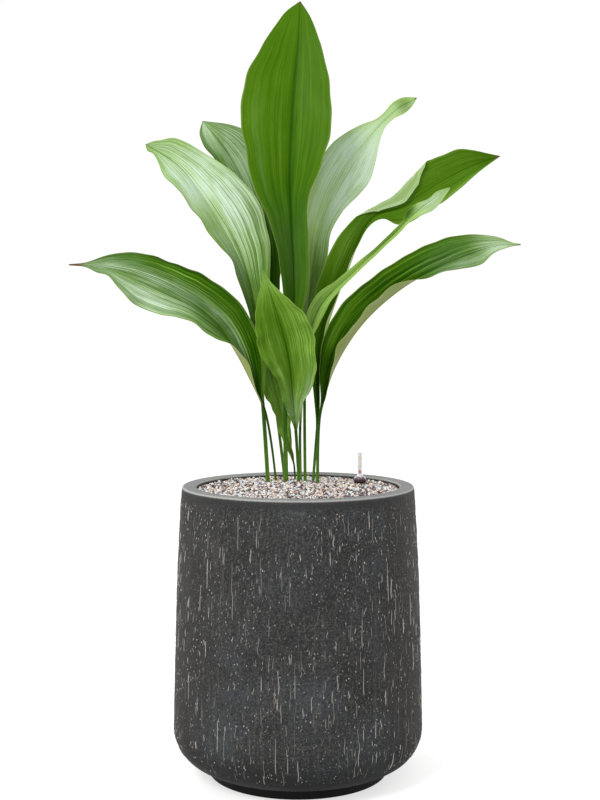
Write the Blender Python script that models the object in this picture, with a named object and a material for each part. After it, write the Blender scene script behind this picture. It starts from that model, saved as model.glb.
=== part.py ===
"""Potted cast iron plant: ten broad leaves on upright stalks, in a tall round planter.

Metres, +Z up. The origin is the middle of the planter's foot, on the floor. The front is -Y.
Lengths in the tables are millimetres.
"""
import math

import bpy
import numpy as np

MM = 0.001
GAP = 0.3                      # clearance between pieces that touch

# Planter
POT_HEIGHT = 394.0
RIM_OUTER = 157.5
RIM_INNER = 138.0
RIM_THICK = 14.0
RIM_ROUND = 3.0
BODY_WIDEST = 170.5
BODY_WIDEST_AT = 64.0
BODY_KNOTS = (150.0, 330.0)      # heights where the sides are shaped, and their radii
BODY_RADII = (168.5, 162.0)
WALL = 8.0
FLOOR_THICK = 22.0
FLOOR_INSET = 4.0              # the floor inside is this much smaller than the foot
FOOT_RADIUS = 122.0
FOOT_HEIGHT = 14.0
UNDERSIDE = 48.0               # how far the sides turn in above the foot
SHOULDER = 10.0                # height of the slope under the rim, inside
TURN_STEPS = 48

# Granulate and rootstock
FILL_AT_WALL = 388.0
FILL_AT_MIDDLE = 396.0
FILL_BOTTOM = FLOOR_THICK + GAP
RHIZOME_DEPTH = 362.0          # height of the rootstock's centre line
RHIZOME_RADIUS = 8.0
RHIZOME_START = (-55.0, 35.0)    # x and y of its two ends
RHIZOME_END = (39.0, 3.0)
RHIZOME_RINGS = 13
SOCKET_SINK = 5.0              # each stalk's socket runs on down into the rootstock's

# Water gauge
GAUGE_X, GAUGE_Y = 86.0, 40.0
HOUSING_OUTER, HOUSING_INNER = 7.0, 5.0
GAUGE_SEAT = 392.0             # where the cap stands on the housing
CAP_RADIUS, CAP_HEIGHT = 8.8, 12.0
SIGHT_OUTER, SIGHT_INNER, SIGHT_HEIGHT = 3.2, 2.2, 30.0
FLOAT_RADIUS, FLOAT_LENGTH = 4.0, 42.0
ROD_RADIUS = 0.8
TIP_RADIUS, TIP_HEIGHT = 1.5, 4.0
GAUGE_STEPS = 16

# Blades and stalks
BLADE_THICK = 1.2
MARGIN_THICK = 0.5
BLADE_ROWS = 20
HALF_COLUMNS = 3
STALK_SIDES = 8
STALK_RINGS = 9

# Each blade's midrib runs through a few stations from its stalk to its tip. A station is
# x, y, z and the tilts of the left and right halves: degrees that each half leans to the front.
# 'half' gives the two halves' greatest widths, 'widest' where along the blade they are,
# 'taper' how full the blade stays towards its stalk and its tip. 'root' is where the stalk
# leaves the rootstock, 'stalk' is its radius there and at the blade.
LEAVES = {
    "left_lower": dict(
        stations=[(-48, 6, 503, 100, 50), (-65, 0, 538, 105, 30), (-84, -8, 568, 105, 10),
                  (-109, -18, 608, 85, 0), (-133, -28, 634, 50, 0), (-175, -42, 659, 15, 0),
                  (-222, -56, 679, 5, 5), (-268, -68, 689, 0, 20), (-297, -72, 690, 0, 20)],
        half=(40, 44), widest=0.6, taper=(0.7, 0.6), tail=0.055, curl=(0, -40),
        root=(-29, 27), stalk=(1.7, 1.9)),
    "left_upper": dict(
        stations=[(-49, 38, 505, 60, 50), (-60, 42, 584, 65, 40), (-68, 44, 648, 70, 25),
                  (-80, 46, 698, 70, 15), (-101, 48, 742, 64, 5), (-129, 50, 786, 60, 0),
                  (-166, 54, 832, 30, 5), (-211, 60, 861, 0, 30)],
        half=(44, 50), widest=0.6, taper=(1.0, 0.55), curl=(0, -20),
        root=(-41, 31), stalk=(2.6, 2.2)),
    "left_back": dict(
        stations=[(-32, 64, 506, 60, 60), (-40, 82, 604, 50, 50), (-49, 104, 710, 40, 40),
                  (-69, 124, 790, 30, 20), (-99, 142, 853, 20, 0), (-139, 160, 907, 30, 10)],
        half=(40, 36), widest=0.65, taper=(1.2, 0.5), curl=(10, 0),
        root=(-21, 30), stalk=(2.2, 2.0)),
    "centre": dict(
        stations=[(-17, 24, 506, 70, 60), (-12, 26, 577, 60, 55), (-8, 28, 646, 52, 48),
                  (-10, 32, 728, 42, 36), (-11, 38, 810, 22, 24), (-6, 46, 920, 10, 18),
                  (0, 54, 996, 10, 10), (3, 60, 1056, 0, 0)],
        half=(72, 54), widest=0.7, taper=(1.6, 0.72),
        root=(-16, 19), stalk=(2.8, 2.4)),
    "right_back": dict(
        stations=[(3, 52, 470, -120, 130), (10, 62, 576, -110, 150), (17, 72, 667, -150, 110),
                  (28, 80, 733, -170, 150), (51, 88, 801, -180, 180), (85, 96, 858, -180, 180),
                  (122, 102, 900, -170, 175), (140, 104, 920, -120, 100), (168, 106, 932, -60, 60)],
        half=(44, 32), widest=0.72, taper=(1.3, 0.9), tail=0.12, flap=(0.86, 1.0, 0.28),
        root=(4, 21), stalk=(1.9, 1.9)),
    "right_mid": dict(
        stations=[(26, 18, 467, 60, 60), (33, 40, 577, 40, 90), (67, 60, 681, 25, 95),
                  (107, 78, 764, 20, 88), (147, 88, 778, 10, 30), (201, 100, 812, 10, 5),
                  (252, 108, 838, 15, 10), (288, 114, 851, 20, 20)],
        half=(40, 33), widest=0.74, taper=(0.9, 0.7), roll=(0.53, 0.80, 0.55, 170),
        root=(19, 11), stalk=(1.9, 1.9)),
    "right_narrow": dict(
        stations=[(9, 6, 509, 60, 60), (11, 0, 584, 60, 50), (30, -10, 636, 40, 30),
                  (83, -24, 690, 20, 20), (129, -38, 734, 50, 60), (160, -48, 764, 10, 10),
                  (199, -58, 791, 0, 10)],
        half=(12, 12), widest=0.84, taper=(0.3, 0.6),
        root=(10, 13), stalk=(2.1, 2.0)),
    "right_lower": dict(
        stations=[(31, -8, 497, 40, 80), (48, -24, 552, 20, 98), (85, -44, 613, 5, 108),
                  (133, -64, 658, 0, 105), (183, -82, 687, 0, 60), (226, -96, 705, 10, 20),
                  (261, -106, 714, 10, 20), (282, -112, 714, 5, 5)],
        half=(41, 36), widest=0.55, taper=(0.6, 0.8), tail=0.03,
        root=(27, 6), stalk=(2.2, 2.0)),
    "front_young": dict(
        stations=[(-3, -6, 469, 60, 50), (-7, -24, 518, 45, 40), (-13, -50, 572, 30, 25),
                  (-25, -72, 621, 25, 20), (-36, -86, 655, 10, 20), (-45, -96, 684, 0, 20)],
        half=(44, 40), widest=0.56, taper=(1.5, 1.0),
        root=(2, 10), stalk=(2.0, 2.1)),
    "back_small": dict(
        stations=[(-8, 36, 438, 50, 50), (-20, 44, 482, 40, 40), (-32, 52, 528, 30, 30),
                  (-42, 60, 583, 30, 30)],
        half=(14, 14), widest=0.5, taper=(0.9, 0.8),
        root=(-4, 21), stalk=(1.2, 1.3)),
}

# Colour, roughness and metallic value of each material.
LOOKS = {
    "charcoal_composite": ((0.06, 0.06, 0.065), 0.75, 0.0),
    "granulate": ((0.55, 0.50, 0.46), 0.95, 0.0),
    "leaf": ((0.08, 0.24, 0.02), 0.40, 0.0),
    "young_leaf": ((0.20, 0.42, 0.05), 0.40, 0.0),
    "stalk": ((0.08, 0.20, 0.04), 0.50, 0.0),
    "rhizome": ((0.32, 0.24, 0.14), 0.80, 0.0),
    "gauge_dark": ((0.05, 0.03, 0.035), 0.35, 0.0),
    "gauge_clear": ((0.90, 0.92, 0.92), 0.05, 0.0),
    "gauge_red": ((0.60, 0.05, 0.04), 0.40, 0.0),
    "gauge_float": ((0.85, 0.84, 0.80), 0.60, 0.0),
}
MATERIAL_OF_LEAF = {"right_narrow": "young_leaf", "front_young": "young_leaf"}


def clear_scene():
    for item in list(bpy.data.objects):
        bpy.data.objects.remove(item, do_unlink=True)


def material(name):
    made = bpy.data.materials.get(name)
    if made:
        return made
    colour, roughness, metallic = LOOKS[name]
    made = bpy.data.materials.new(name)
    made.use_nodes = True
    shader = made.node_tree.nodes["Principled BSDF"]
    shader.inputs["Base Color"].default_value = (*colour, 1.0)
    shader.inputs["Roughness"].default_value = roughness
    shader.inputs["Metallic"].default_value = metallic
    return made


def mesh_object(name, points, faces, look, edges=()):
    """One object from points in millimetres."""
    mesh = bpy.data.meshes.new(name)
    mesh.from_pydata([tuple(float(v) * MM for v in p) for p in points], list(edges), faces)
    if faces:
        mesh.shade_smooth()
    piece = bpy.data.objects.new(name, mesh)
    bpy.context.scene.collection.objects.link(piece)
    mesh.materials.append(material(look))
    return piece


def turned(name, profile, look, steps=TURN_STEPS, closed=False, centre=(0.0, 0.0)):
    """Turns (radius, height) points, outer side from top to bottom, about a vertical axis."""
    points = [(r, 0.0, z) for r, z in profile]
    count = len(points)
    edges = [(i, i + 1) for i in range(count - 1)] + ([(count - 1, 0)] if closed else [])
    piece = mesh_object(name, points, [], look, edges)
    piece.location = (centre[0] * MM, centre[1] * MM, 0.0)
    screw = piece.modifiers.new("Turn", "SCREW")
    screw.steps = screw.render_steps = steps
    screw.use_merge_vertices = True
    screw.merge_threshold = 0.00001
    screw.use_smooth_shade = True
    return piece


def arc(centre_r, centre_z, radius, start, end, steps):
    """Points of an arc in the profile's plane; angles in degrees from the outward direction."""
    angles = [math.radians(start + (end - start) * i / steps) for i in range(steps + 1)]
    return [(centre_r + radius * math.cos(a), centre_z + radius * math.sin(a)) for a in angles]


def smooth_curve(knots, values, at):
    """A smooth curve through values at the given knots, read at many places."""
    knots, values = np.asarray(knots, float), np.asarray(values, float)
    at = np.clip(at, knots[0], knots[-1])
    slopes = np.gradient(values, knots, axis=0)
    i = np.clip(np.searchsorted(knots, at, side="right") - 1, 0, len(knots) - 2)
    span = knots[i + 1] - knots[i]
    s = (at - knots[i]) / span
    if values.ndim > 1:
        s, span = s[:, None], span[:, None]
    return ((1 + 2 * s) * (1 - s) ** 2 * values[i] + s * (1 - s) ** 2 * span * slopes[i]
            + s * s * (3 - 2 * s) * values[i + 1] - s * s * (1 - s) * span * slopes[i + 1])


def unit(vectors):
    return vectors / np.linalg.norm(vectors, axis=-1, keepdims=True)


# ---------------------------------------------------------------- planter

def body_radius(height):
    """The planter's outer radius: slightly wider towards the foot."""
    knots = [BODY_WIDEST_AT, *BODY_KNOTS, POT_HEIGHT]
    radii = [BODY_WIDEST, *BODY_RADII, RIM_OUTER + 0.5]
    return float(smooth_curve(knots, radii, np.array([height]))[0])


def inner_heights():
    """Heights where the inside of the planter's wall is shaped, upwards."""
    low, high = BODY_KNOTS
    return [low, (low + high) / 2, high, POT_HEIGHT - RIM_THICK - SHOULDER]


def pot_profile():
    inside = [(0.0, FLOOR_THICK), (FOOT_RADIUS - FLOOR_INSET, FLOOR_THICK),
              (BODY_WIDEST - WALL, BODY_WIDEST_AT)]
    inside += [(body_radius(z) - WALL, z) for z in inner_heights()]
    inside += [(RIM_INNER, POT_HEIGHT - RIM_THICK)]
    rim = arc(RIM_INNER + RIM_ROUND, POT_HEIGHT - RIM_ROUND, RIM_ROUND, 180.0, 90.0, 3)
    rim += arc(RIM_OUTER - RIM_ROUND, POT_HEIGHT - RIM_ROUND, RIM_ROUND, 90.0, 0.0, 3)
    heights = np.linspace(POT_HEIGHT - RIM_THICK, BODY_WIDEST_AT, 8)[:-1]
    side = [(body_radius(z), float(z)) for z in heights]
    drop = BODY_WIDEST_AT - FOOT_HEIGHT
    turn = [(BODY_WIDEST - UNDERSIDE * (1 - c), BODY_WIDEST_AT + drop * s)
            for c, s in arc(0.0, 0.0, 1.0, 0.0, -90.0, 8)]
    foot = [(FOOT_RADIUS, FOOT_HEIGHT), (FOOT_RADIUS, 0.0), (0.0, 0.0)]
    return inside + rim + side + turn + foot


def fill_profile():
    """The granulate follows the planter's inside and ends in a low mound."""
    mound = []
    for i in range(6):
        r = (RIM_INNER - GAP) * i / 5
        lift = 0.5 + 0.5 * math.cos(math.pi * i / 5)
        mound.append((r, FILL_AT_WALL + (FILL_AT_MIDDLE - FILL_AT_WALL) * lift))
    side = [(RIM_INNER - GAP, POT_HEIGHT - RIM_THICK - 2 * GAP)]
    heights = inner_heights()
    heights[-1] -= 2 * GAP
    side += [(body_radius(z) - WALL - GAP, z) for z in reversed(heights)]
    side += [(BODY_WIDEST - WALL - 2 * GAP, BODY_WIDEST_AT),
             (FOOT_RADIUS - FLOOR_INSET - GAP, FILL_BOTTOM), (0.0, FILL_BOTTOM)]
    return mound + side


# ---------------------------------------------------------------- blades

def midrib(leaf, rows):
    """Evenly spaced points along the midrib, their directions, and the two halves' tilts."""
    stations = np.array(leaf["stations"], float)
    spans = np.linalg.norm(np.diff(stations[:, :3], axis=0), axis=1) ** 0.7
    knots = np.concatenate([[0.0], np.cumsum(spans)])
    fine = np.linspace(0.0, knots[-1], 800)
    path = smooth_curve(knots, stations[:, :3], fine)
    steps = np.linalg.norm(np.diff(path, axis=0), axis=1)
    length = np.concatenate([[0.0], np.cumsum(steps)])
    along = np.linspace(0.0, 1.0, rows)
    at = np.interp(along * length[-1], length, fine)
    points = smooth_curve(knots, stations[:, :3], at)
    tilts = np.radians(smooth_curve(knots, stations[:, 3:], at))
    return along, points, unit(np.gradient(points, axis=0)), tilts


def fullness(leaf, along):
    """How wide the blade is along its length, from 0 to 1."""
    base, tip = leaf["taper"]
    t = np.clip(along / (1.0 - leaf.get("tail", 0.0)), 0.0, 1.0)
    widest = leaf["widest"]
    rise = np.sin(math.pi / 2 * np.clip(t / widest, 0, 1)) ** base
    fall = np.cos(math.pi / 2 * np.clip((t - widest) / (1 - widest), 0, 1)) ** tip
    full = np.where(t < widest, rise, fall)
    if "flap" in leaf:
        start, end, amount = leaf["flap"]
        full = full + amount * np.sin(math.pi * np.clip((along - start) / (end - start), 0, 1))
    return full


def blade_surface(leaf, rows, half_columns):
    """The blade's middle surface as a grid of points: rows from stalk to tip, left to right."""
    along, points, ahead, tilts = midrib(leaf, rows)
    across = unit(np.cross((0.0, 1.0, 0.0), ahead))
    front = np.cross(across, ahead)
    full = fullness(leaf, along)
    u = np.linspace(0.0, 1.0, half_columns + 1)
    grid = np.zeros((rows, 2 * half_columns + 1, 3))
    grid[:, half_columns] = points
    for side, sign in ((0, -1), (1, 1)):
        width = np.maximum(leaf["half"][side] * full, 1.0 + 1.2 * (1.0 - along))
        curl = math.radians(leaf.get("curl", (0, 0))[side])
        out, lift = np.zeros(rows), np.zeros(rows)
        for j in range(1, half_columns + 1):
            middle = (u[j] + u[j - 1]) / 2
            angle = tilts[:, side] + curl * middle * np.minimum(full * 1.5, 1.0)
            if side == 0 and "roll" in leaf:
                angle = angle + rolled_margin(leaf["roll"], along, middle)
            out += np.cos(angle) * width * (u[j] - u[j - 1])
            lift += np.sin(angle) * width * (u[j] - u[j - 1])
            grid[:, half_columns + sign * j] = (
                points + across * (sign * out)[:, None] + front * lift[:, None])
    return grid


def rolled_margin(roll, along, middle):
    """Turns a margin over, forward, along a stretch of the blade."""
    start, end, from_u, degrees = roll
    stretch = np.sin(math.pi * np.clip((along - start) / (end - start), 0, 1)) ** 0.8
    ramp = min(max((middle - from_u) / 0.2, 0.0), 1.0)
    return math.radians(degrees) * stretch * ramp * ramp * (3 - 2 * ramp)


def thicken(grid, middle_thick, margin_thick):
    """A closed solid about a grid: front and back faces, and a wall round the margin."""
    rows, columns = grid.shape[:2]
    normal = unit(np.cross(np.gradient(grid, axis=1), np.gradient(grid, axis=0)))
    u = np.abs(np.linspace(-1.0, 1.0, columns))[None, :, None]
    half = (margin_thick + (middle_thick - margin_thick) * (1 - u ** 2)) / 2
    points = np.concatenate([(grid + normal * half).reshape(-1, 3),
                             (grid - normal * half).reshape(-1, 3)])
    back = rows * columns
    faces = []
    for i in range(rows - 1):
        for j in range(columns - 1):
            a, b = i * columns + j, i * columns + j + 1
            c, d = b + columns, a + columns
            faces.append((a, b, c, d))
            faces.append((a + back, d + back, c + back, b + back))
    ring = list(range(columns))
    ring += [i * columns + columns - 1 for i in range(1, rows)]
    ring += [(rows - 1) * columns + j for j in range(columns - 2, -1, -1)]
    ring += [i * columns for i in range(rows - 2, 0, -1)]
    for a, b in zip(ring, ring[1:] + ring[:1]):
        faces.append((a, a + back, b + back, b))
    return points, faces


def add_blade(name, leaf):
    grid = blade_surface(leaf, BLADE_ROWS, HALF_COLUMNS)
    points, faces = thicken(grid, BLADE_THICK, MARGIN_THICK)
    look = MATERIAL_OF_LEAF.get(name, "leaf")
    return mesh_object("blade_" + name, points, faces, look)


# ---------------------------------------------------------------- stalks and rootstock

def tube(name, points, radii, look, sides=STALK_SIDES):
    """A round bar along a path, closed at both ends."""
    points = np.asarray(points, float)
    ahead = unit(np.gradient(points, axis=0))
    first = unit(np.cross((0.0, 1.0, 0.0), ahead))
    second = np.cross(ahead, first)
    turn = 2 * math.pi * np.arange(sides) / sides
    rings = (points[:, None] + np.asarray(radii, float)[:, None, None]
             * (first[:, None] * np.cos(turn)[None, :, None]
                + second[:, None] * np.sin(turn)[None, :, None]))
    faces = [tuple(reversed(range(sides)))]
    for i in range(len(points) - 1):
        for k in range(sides):
            a, b = i * sides + k, i * sides + (k + 1) % sides
            faces.append((a, b, b + sides, a + sides))
    last = (len(points) - 1) * sides
    faces.append(tuple(range(last, last + sides)))
    return mesh_object(name, rings.reshape(-1, 3), faces, look)


def rootstock_top(root, radius):
    """The height of the rootstock's surface under a stalk that stands a little off its line."""
    x, y = root
    share = (x - RHIZOME_START[0]) / (RHIZOME_END[0] - RHIZOME_START[0])
    line_y = RHIZOME_START[1] + share * (RHIZOME_END[1] - RHIZOME_START[1])
    offset = max(abs(y - line_y) - radius, 0.0)
    return RHIZOME_DEPTH + math.sqrt(RHIZOME_RADIUS ** 2 - offset ** 2)


def stalk_path(leaf):
    """From the top of the rootstock, straight up at first, then into line with the blade."""
    _, points, ahead, _ = midrib(leaf, BLADE_ROWS)
    end = points[0] - ahead[0] * (GAP + 0.2)
    foot = rootstock_top(leaf["root"], leaf["stalk"][0]) + GAP
    start = np.array([*leaf["root"], foot])
    reach = np.linalg.norm(end - start) * 0.4
    t = np.linspace(0.0, 1.0, STALK_RINGS)[:, None]
    return ((1 - t) ** 3 * start + 3 * (1 - t) ** 2 * t * (start + (0, 0, reach))
            + 3 * (1 - t) * t ** 2 * (end - ahead[0] * reach) + t ** 3 * end)


def stalk_radii(leaf):
    return np.linspace(leaf["stalk"][0], leaf["stalk"][1], STALK_RINGS)


def add_stalk(name, leaf):
    return tube("stalk_" + name, stalk_path(leaf), stalk_radii(leaf), "stalk")


def stalk_socket(name, leaf):
    """The stalk with clearance, running on down into the rootstock's own space."""
    path = stalk_path(leaf)
    radii = stalk_radii(leaf) + GAP
    path = np.concatenate([[path[0] - (0.0, 0.0, SOCKET_SINK)], path])
    return tube("cutter_" + name, path, np.concatenate([radii[:1], radii]), "stalk")


def rhizome_path():
    ends = [(*RHIZOME_START, RHIZOME_DEPTH), (*RHIZOME_END, RHIZOME_DEPTH)]
    return np.linspace(ends[0], ends[1], RHIZOME_RINGS)


def rhizome_radii(extra=0.0):
    """Even along its length, rounded at both ends."""
    along = np.abs(np.linspace(-1.0, 1.0, RHIZOME_RINGS))
    return RHIZOME_RADIUS * (1 - along ** 12 * 0.6) + extra


def cut(piece, cutters):
    """Takes the cutters' shapes out of a piece."""
    for cutter in cutters:
        cutter.hide_render = True
        cutter.display_type = "WIRE"
        boolean = piece.modifiers.new("Cut " + cutter.name, "BOOLEAN")
        boolean.operation = "DIFFERENCE"
        boolean.solver = "EXACT"
        boolean.object = cutter


# ---------------------------------------------------------------- water gauge

def add_gauge():
    centre = (GAUGE_X, GAUGE_Y)
    housing_bottom = FILL_BOTTOM + GAP
    top = GAUGE_SEAT - GAP
    turned("gauge_housing", [(HOUSING_OUTER, top), (HOUSING_OUTER, housing_bottom),
                             (HOUSING_INNER, housing_bottom), (HOUSING_INNER, top)],
           "gauge_dark", GAUGE_STEPS, True, centre)
    cap_top = GAUGE_SEAT + CAP_HEIGHT
    bulb = [(CAP_RADIUS * math.cos(math.radians(a)) ** 0.7,
             GAUGE_SEAT + CAP_HEIGHT * 0.35 + CAP_HEIGHT * 0.65 * math.sin(math.radians(a)))
            for a in (58, 40, 20, 0)]
    turned("gauge_cap", [(SIGHT_OUTER + 1.2, cap_top)] + bulb
           + [(CAP_RADIUS * 0.9, GAUGE_SEAT), (TIP_RADIUS + 0.5, GAUGE_SEAT),
              (TIP_RADIUS + 0.5, cap_top)], "gauge_dark", GAUGE_STEPS, True, centre)
    foot = cap_top + GAP
    head = foot + SIGHT_HEIGHT
    turned("gauge_sight_tube",
           [(0.0, head), (SIGHT_OUTER * 0.6, head), (SIGHT_OUTER, head - 1.2),
            (SIGHT_OUTER, foot), (SIGHT_INNER, foot), (SIGHT_INNER, head - 1.6),
            (0.0, head - 1.6)], "gauge_clear", GAUGE_STEPS, False, centre)
    floor = housing_bottom + 3.0
    shoulder = floor + FLOAT_LENGTH
    rod_top = foot + 1.0
    turned("gauge_float",
           [(0.0, rod_top), (ROD_RADIUS, rod_top), (ROD_RADIUS, shoulder),
            (FLOAT_RADIUS - 1.0, shoulder), (FLOAT_RADIUS, shoulder - 1.0),
            (FLOAT_RADIUS, floor + 1.0), (FLOAT_RADIUS - 1.0, floor), (0.0, floor)],
           "gauge_float", GAUGE_STEPS, False, centre)
    tip_foot = rod_top + GAP
    turned("gauge_indicator",
           [(0.0, tip_foot + TIP_HEIGHT), (TIP_RADIUS - 0.5, tip_foot + TIP_HEIGHT),
            (TIP_RADIUS, tip_foot + TIP_HEIGHT - 0.5), (TIP_RADIUS, tip_foot), (0.0, tip_foot)],
           "gauge_red", GAUGE_STEPS, False, centre)


def add_fill():
    """The granulate, with room for the rootstock, each stalk and the gauge."""
    fill = turned("granulate", fill_profile(), "granulate")
    cutters = [tube("cutter_rhizome", rhizome_path(), rhizome_radii(GAP), "rhizome", 12)]
    for name, leaf in LEAVES.items():
        cutters.append(stalk_socket(name, leaf))
    hole = HOUSING_OUTER + GAP
    cutters.append(turned("cutter_gauge",
                          [(0.0, POT_HEIGHT + 40.0), (hole, POT_HEIGHT + 40.0),
                           (hole, FILL_BOTTOM + GAP * 0.5), (0.0, FILL_BOTTOM + GAP * 0.5)],
                          "gauge_dark", GAUGE_STEPS, False, (GAUGE_X, GAUGE_Y)))
    cut(fill, cutters)
    return fill


def main():
    clear_scene()
    turned("pot", pot_profile(), "charcoal_composite")
    add_fill()
    tube("rhizome", rhizome_path(), rhizome_radii(), "rhizome", 12)
    for name, leaf in LEAVES.items():
        add_stalk(name, leaf)
        add_blade(name, leaf)
    add_gauge()


main()
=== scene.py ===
"""The looks of the potted cast iron plant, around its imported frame. Lengths are millimetres
unless a name says otherwise; meshes are written in metres."""
import math

import bpy
import numpy as np
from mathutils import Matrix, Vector, noise


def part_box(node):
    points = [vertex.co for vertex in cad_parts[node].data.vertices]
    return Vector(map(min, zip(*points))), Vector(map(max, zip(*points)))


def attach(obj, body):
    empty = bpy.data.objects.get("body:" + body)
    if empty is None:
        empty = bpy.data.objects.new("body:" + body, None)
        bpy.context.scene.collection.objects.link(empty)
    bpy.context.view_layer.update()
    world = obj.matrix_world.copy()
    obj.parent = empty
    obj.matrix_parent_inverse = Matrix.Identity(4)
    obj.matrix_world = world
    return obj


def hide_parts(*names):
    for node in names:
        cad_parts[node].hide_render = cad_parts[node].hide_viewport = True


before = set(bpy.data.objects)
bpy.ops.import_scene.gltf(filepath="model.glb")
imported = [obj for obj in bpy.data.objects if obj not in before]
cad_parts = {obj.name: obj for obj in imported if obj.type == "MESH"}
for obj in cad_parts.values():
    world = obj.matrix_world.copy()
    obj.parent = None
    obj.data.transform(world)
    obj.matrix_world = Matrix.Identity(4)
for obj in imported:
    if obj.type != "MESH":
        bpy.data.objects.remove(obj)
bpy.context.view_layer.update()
MM = 0.001


def node_box(node):
    """A node's lowest and highest corners, in millimetres."""
    low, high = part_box(node)
    return np.array(low) / MM, np.array(high) / MM


POT_HIGH = node_box("pot")[1]
CAP_LOW, CAP_HIGH = node_box("gauge_cap")
TUBE_LOW, TUBE_HIGH = node_box("gauge_sight_tube")
TIP_LOW, TIP_HIGH = node_box("gauge_indicator")
POT_HEIGHT = POT_HIGH[2]
POT_WIDEST = POT_HIGH[0]
RIM_OUTER = POT_WIDEST - 13.0
RIM_INNER = POT_WIDEST - 32.5

# ---------------------------------------------------------------- camera, light and floor

CAMERA_AT = (0.0027, -1.836, 0.625)
CAMERA_DOWN_DEG = 3.59
CAMERA_LENS_MM = 60.98


def add_camera():
    data = bpy.data.cameras.new("camera")
    data.lens = CAMERA_LENS_MM
    data.sensor_width = 36.0
    camera = bpy.data.objects.new("camera", data)
    camera.location = CAMERA_AT
    camera.rotation_euler = (math.radians(90.0 - CAMERA_DOWN_DEG), 0.0, 0.0)
    bpy.context.scene.collection.objects.link(camera)
    bpy.context.scene.camera = camera


LIGHTS_AIM = (0.0, 0.0, 0.55)


def add_light(name, at, size, power, colour):
    data = bpy.data.lights.new(name, "AREA")
    data.shape = "RECTANGLE"
    data.size, data.size_y = size
    data.energy = power
    data.color = colour
    light = bpy.data.objects.new(name, data)
    light.location = at
    light.rotation_euler = (Vector(LIGHTS_AIM) - Vector(at)).to_track_quat("-Z", "Y").to_euler()
    bpy.context.scene.collection.objects.link(light)


def add_studio():
    world = bpy.data.worlds.new("studio")
    world.use_nodes = True
    background = world.node_tree.nodes["Background"]
    background.inputs["Color"].default_value = (1.0, 1.0, 1.0, 1.0)
    background.inputs["Strength"].default_value = 1.03
    bpy.context.scene.world = world
    bpy.context.scene.view_settings.view_transform = "Standard"
    add_light("key", (-1.3, -1.9, 2.3), (0.9, 0.9), 60.0, (1.0, 0.99, 0.97))
    add_light("rim_left", (-1.7, 1.5, 1.9), (1.0, 1.4), 30.0, (1.0, 0.98, 0.94))
    add_light("rim_right", (1.9, 1.4, 1.3), (1.0, 1.4), 20.0, (1.0, 0.98, 0.94))


def add_floor():
    """A wide pale floor."""
    reach = 40.0
    mesh = bpy.data.meshes.new("floor")
    mesh.from_pydata([(-reach, -reach, 0), (reach, -reach, 0), (reach, reach, 0),
                      (-reach, reach, 0)], [], [(0, 1, 2, 3)])
    floor = bpy.data.objects.new("floor", mesh)
    bpy.context.scene.collection.objects.link(floor)
    paint = Paint("floor")
    paint.shader.inputs["Base Color"].default_value = (0.39, 0.39, 0.39, 1.0)
    paint.shader.inputs["Roughness"].default_value = 0.9
    paint.shader.inputs["Specular IOR Level"].default_value = 0.0
    paint.shader.inputs["Emission Color"].default_value = (1.0, 1.0, 1.0, 1.0)
    paint.shader.inputs["Emission Strength"].default_value = 0.645
    mesh.materials.append(paint.material)


# ---------------------------------------------------------------- node materials

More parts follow.
